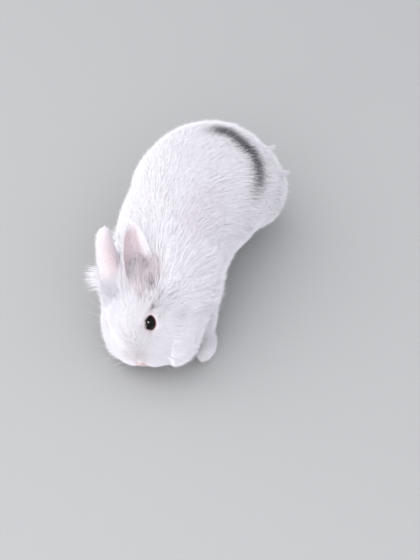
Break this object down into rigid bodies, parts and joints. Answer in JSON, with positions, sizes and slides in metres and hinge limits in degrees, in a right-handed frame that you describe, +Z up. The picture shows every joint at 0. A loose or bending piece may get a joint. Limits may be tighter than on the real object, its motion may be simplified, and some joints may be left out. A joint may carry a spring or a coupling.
{
  "type": "lionhead rabbit",
  "caption": "Life-size still model of a long-maned dwarf rabbit crouched to graze, head low and turned, rump rounded and ears laid back.",
  "frame": {"origin": "middle of the bounding box's bottom, on the floor the feet rest on", "axes": "+Z up; the rabbit faces -Y, with its left side towards +X"},
  "size_m": [0.1482, 0.2378, 0.1311],
  "materials": {
    "coat_white": "soft white fur with a faint lilac tint",
    "ear_skin": "thinly furred grey-pink skin",
    "eye_brown": "wet near-black brown"
  },
  "bodies": {
    "root": {"head": "coat_white", "neck": "coat_white", "torso": "coat_white", "tail": "coat_white", "foreleg_left": "coat_white", "foreleg_right": "coat_white", "hind_leg_left": "coat_white", "hind_leg_right": "coat_white", "hind_foot_left": "coat_white", "hind_foot_right": "coat_white", "ear_left": "ear_skin", "ear_right": "ear_skin", "eye_left": "eye_brown", "eye_right": "eye_brown"}
  },
  "joints": []
}
